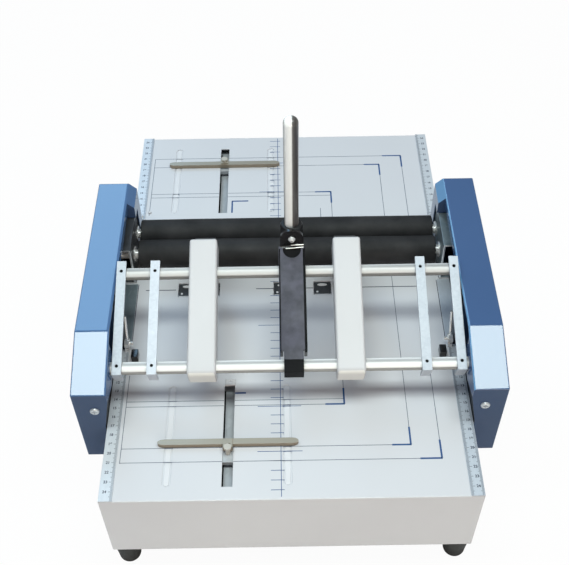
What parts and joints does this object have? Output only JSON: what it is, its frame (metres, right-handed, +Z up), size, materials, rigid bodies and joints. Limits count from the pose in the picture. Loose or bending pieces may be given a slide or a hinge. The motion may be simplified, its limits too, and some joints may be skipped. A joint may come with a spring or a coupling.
{
  "type": "booklet maker",
  "caption": "Hand-worked booklet maker: flat paper table with sliding stops, sliding stapler arms on a sprung press frame with upright handle, folding knife and geared rollers.",
  "frame": {"origin": "middle of the footprint, on the surface that the feet stand on", "axes": "+X to the right across the machine, +Y from the operator's side to the rear, +Z up"},
  "size_m": [0.4, 0.498, 0.372],
  "materials": {
    "table_paint": "fine satin enamel",
    "blue_paint": "fine textured enamel",
    "ivory_paint": "semi-gloss enamel",
    "black_paint": "textured black enamel",
    "black_rubber": "matte",
    "roller_rubber": "matte, ground",
    "chrome": "polished plating",
    "zinc_steel": "bright zinc plating",
    "bare_steel": "ground steel",
    "stop_nickel": "yellowed plating"
  },
  "bodies": {
    "base": {"base_tray": "table_paint", "bottom_plate": "bare_steel", "foot_front_left": "black_rubber", "foot_front_right": "black_rubber", "foot_rear_left": "black_rubber", "foot_rear_right": "black_rubber", "ruler_front_left": "bare_steel", "ruler_front_right": "bare_steel", "ruler_rear_left": "bare_steel", "ruler_rear_right": "bare_steel", "side_frame_left": "zinc_steel", "side_frame_right": "zinc_steel", "roller_bracket_left": "zinc_steel", "roller_bracket_right": "zinc_steel", "side_cover_left": "blue_paint", "side_cover_right": "blue_paint", "cover_screw_left": "chrome", "cover_screw_right": "chrome", "anvil_bar": "bare_steel", "knife_guide_left": "bare_steel", "knife_guide_right": "bare_steel", "rocker_bearing_left": "zinc_steel", "rocker_bearing_right": "zinc_steel", "roller_bush_front_left": "bare_steel", "roller_bush_front_right": "bare_steel", "roller_bush_rear_left": "bare_steel", "roller_bush_rear_right": "bare_steel", "return_spring_left": "bare_steel", "return_spring_right": "bare_steel"},
    "press_frame": {"pivot_shaft": "chrome", "rear_rod": "chrome", "lever_arm": "black_paint", "drive_sector": "bare_steel", "strip_outer_left": "zinc_steel", "strip_outer_right": "zinc_steel", "strip_inner_left": "zinc_steel", "strip_inner_right": "zinc_steel"},
    "handle": {"handle_socket": "black_paint", "handle_tube": "chrome", "handle_bolt": "chrome"},
    "stapler_left": {"stapler_cover_left": "ivory_paint", "stapler_body_left": "black_paint"},
    "stapler_right": {"stapler_cover_right": "ivory_paint", "stapler_body_right": "black_paint"},
    "front_roller": {"roller_rubber_front": "roller_rubber", "roller_shaft_front": "chrome", "roller_gear_front": "bare_steel"},
    "rear_roller": {"roller_rubber_rear": "roller_rubber", "roller_shaft_rear": "chrome", "roller_gear_rear": "bare_steel"},
    "rocker": {"rocker_shaft": "bare_steel"},
    "link_left": {"drive_link_left": "chrome"},
    "link_right": {"drive_link_right": "chrome"},
    "knife": {"knife_blade": "bare_steel", "knife_carrier": "zinc_steel"},
    "front_stop": {"front_stop_bar": "stop_nickel", "front_stop_screw": "zinc_steel"},
    "rear_stop": {"rear_stop_bar": "stop_nickel", "rear_stop_screw": "zinc_steel"}
  },
  "joints": [
    {"name": "press", "type": "hinge", "parent": "base", "child": "press_frame", "pos_m": [0, -0.134, 0.175], "axis": [-1, 0, 0], "range_deg": [0, 16], "stiffness_Nm_per_rad": 5, "springref_deg": -40.11},
    {"name": "handle_fold", "type": "hinge", "parent": "press_frame", "child": "handle", "pos_m": [0.0045, -0.0245, 0.234], "axis": [0, 1, 0], "range_deg": [-90, 90]},
    {"name": "stapler_left_slide", "type": "slide", "parent": "press_frame", "child": "stapler_left", "axis": [1, 0, 0], "range_m": [-0.0255, 0.02]},
    {"name": "stapler_right_slide", "type": "slide", "parent": "press_frame", "child": "stapler_right", "axis": [1, 0, 0], "range_m": [-0.0208, 0.02]},
    {"name": "front_roller_turn", "type": "hinge", "parent": "base", "child": "front_roller", "pos_m": [0, 0.0316, 0.155], "axis": [1, 0, 0], "range_deg": [0, 160.5]},
    {"name": "rear_roller_turn", "type": "hinge", "parent": "base", "child": "rear_roller", "pos_m": [0, 0.0619, 0.155], "axis": [-1, 0, 0], "range_deg": [0, 160.5]},
    {"name": "rocker_turn", "type": "hinge", "parent": "base", "child": "rocker", "pos_m": [0, -0.0108, 0.09], "axis": [1, 0, 0], "range_deg": [0, 19.7]},
    {"name": "link_left_turn", "type": "hinge", "parent": "press_frame", "child": "link_left", "pos_m": [-0.1684, -0.06772, 0.19754], "axis": [1, 0, 0], "range_deg": [0, 13.9]},
    {"name": "link_right_turn", "type": "hinge", "parent": "press_frame", "child": "link_right", "pos_m": [0.1684, -0.06772, 0.19754], "axis": [1, 0, 0], "range_deg": [0, 13.9]},
    {"name": "knife_lift", "type": "slide", "parent": "base", "child": "knife", "axis": [0, 0, 1], "range_m": [0, 0.02001], "deforming": ["return_spring_left", "return_spring_right"]},
    {"name": "front_stop_slide", "type": "slide", "parent": "base", "child": "front_stop", "axis": [0, 1, 0], "range_m": [-0.0325, 0.06]},
    {"name": "rear_stop_slide", "type": "slide", "parent": "base", "child": "rear_stop", "axis": [0, 1, 0], "range_m": [-0.075, 0.0245]}
  ],
  "couplings": [
    {"joint": "front_roller_turn", "follows": "press", "ratio": 10.01},
    {"joint": "rear_roller_turn", "follows": "press", "ratio": 10.01},
    {"joint": "rocker_turn", "follows": "press", "ratio": 1.2301},
    {"joint": "link_left_turn", "follows": "press", "ratio": 0.86677},
    {"joint": "link_right_turn", "follows": "press", "ratio": 0.86677},
    {"joint": "knife_lift", "follows": "press", "m_per_rad": 0.07162}
  ]
}
